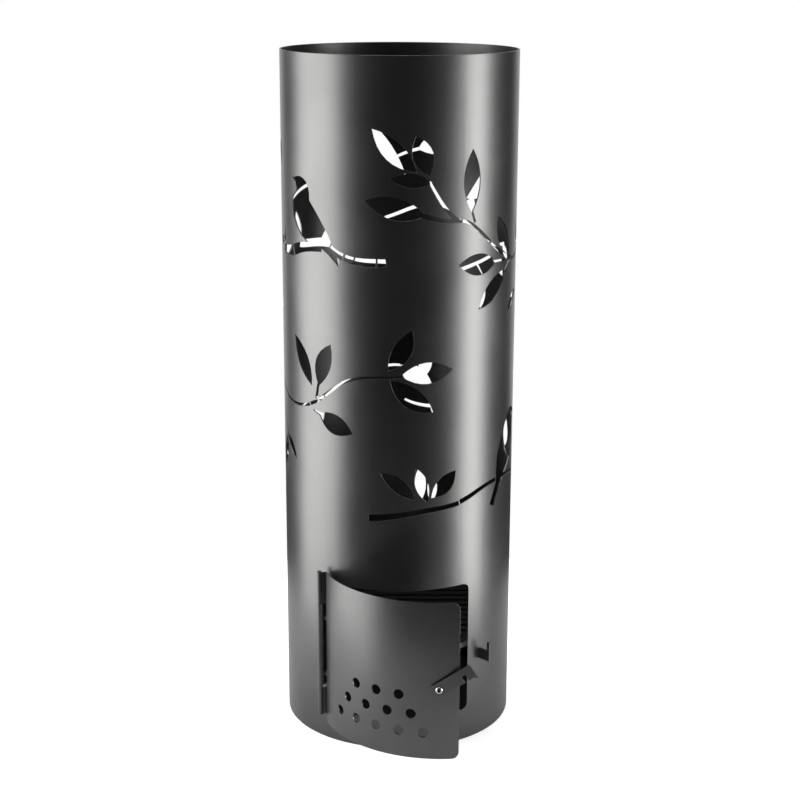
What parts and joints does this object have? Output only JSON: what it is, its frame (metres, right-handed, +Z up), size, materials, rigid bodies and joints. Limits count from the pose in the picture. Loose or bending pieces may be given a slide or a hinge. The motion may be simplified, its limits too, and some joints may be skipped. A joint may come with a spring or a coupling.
{
  "type": "chiminea",
  "caption": "Tall open cylindrical garden fire column of dark coated sheet steel, pierced with birds and leafy branches, with a curved latched door at its foot.",
  "frame": {"origin": "centre of the foot on the ground", "axes": "+Z up the column's axis; the door faces -Y; +X to the viewer's right when facing the door"},
  "size_m": [0.34, 0.4472, 1],
  "materials": {
    "coated_sheet": "satin anthracite heat-proof coating with a fine texture",
    "coated_inside": "matt black heat-proof coating",
    "coated_grate": "matt black heat-proof coating",
    "coated_fittings": "satin anthracite heat-proof coating",
    "plated_steel": "bright zinc plating"
  },
  "bodies": {
    "column": {"shell": "coated_sheet", "base_plate": "coated_inside", "grate_brackets": "coated_inside", "catch_hook": "coated_fittings", "hinge_fixed_leaf": "coated_fittings", "hinge_rivets": "plated_steel", "hinge_pin": "coated_fittings"},
    "door": {"door_panel": "coated_sheet", "door_upper_knuckle": "coated_fittings", "door_lower_knuckle": "coated_fittings", "latch_spacer": "plated_steel", "latch_screw": "plated_steel", "latch_washer": "plated_steel", "latch_nut": "plated_steel"},
    "latch": {"latch_lever": "coated_fittings"},
    "grate": {"grate": "coated_grate"}
  },
  "joints": [
    {"name": "door_swing", "type": "hinge", "parent": "column", "child": "door", "pos_m": [-0.11392, -0.08962, 0.153], "axis": [0, 0, 1], "range_deg": [-81, 34]},
    {"name": "latch_turn", "type": "hinge", "parent": "door", "child": "latch", "pos_m": [0.05755, -0.21006, 0.1385], "axis": [-0.0175, -0.9998, 0], "range_deg": [-33, 57]},
    {"name": "grate_lift", "type": "slide", "parent": "column", "child": "grate", "axis": [0, 0, 1], "range_m": [0, 0.87]}
  ]
}
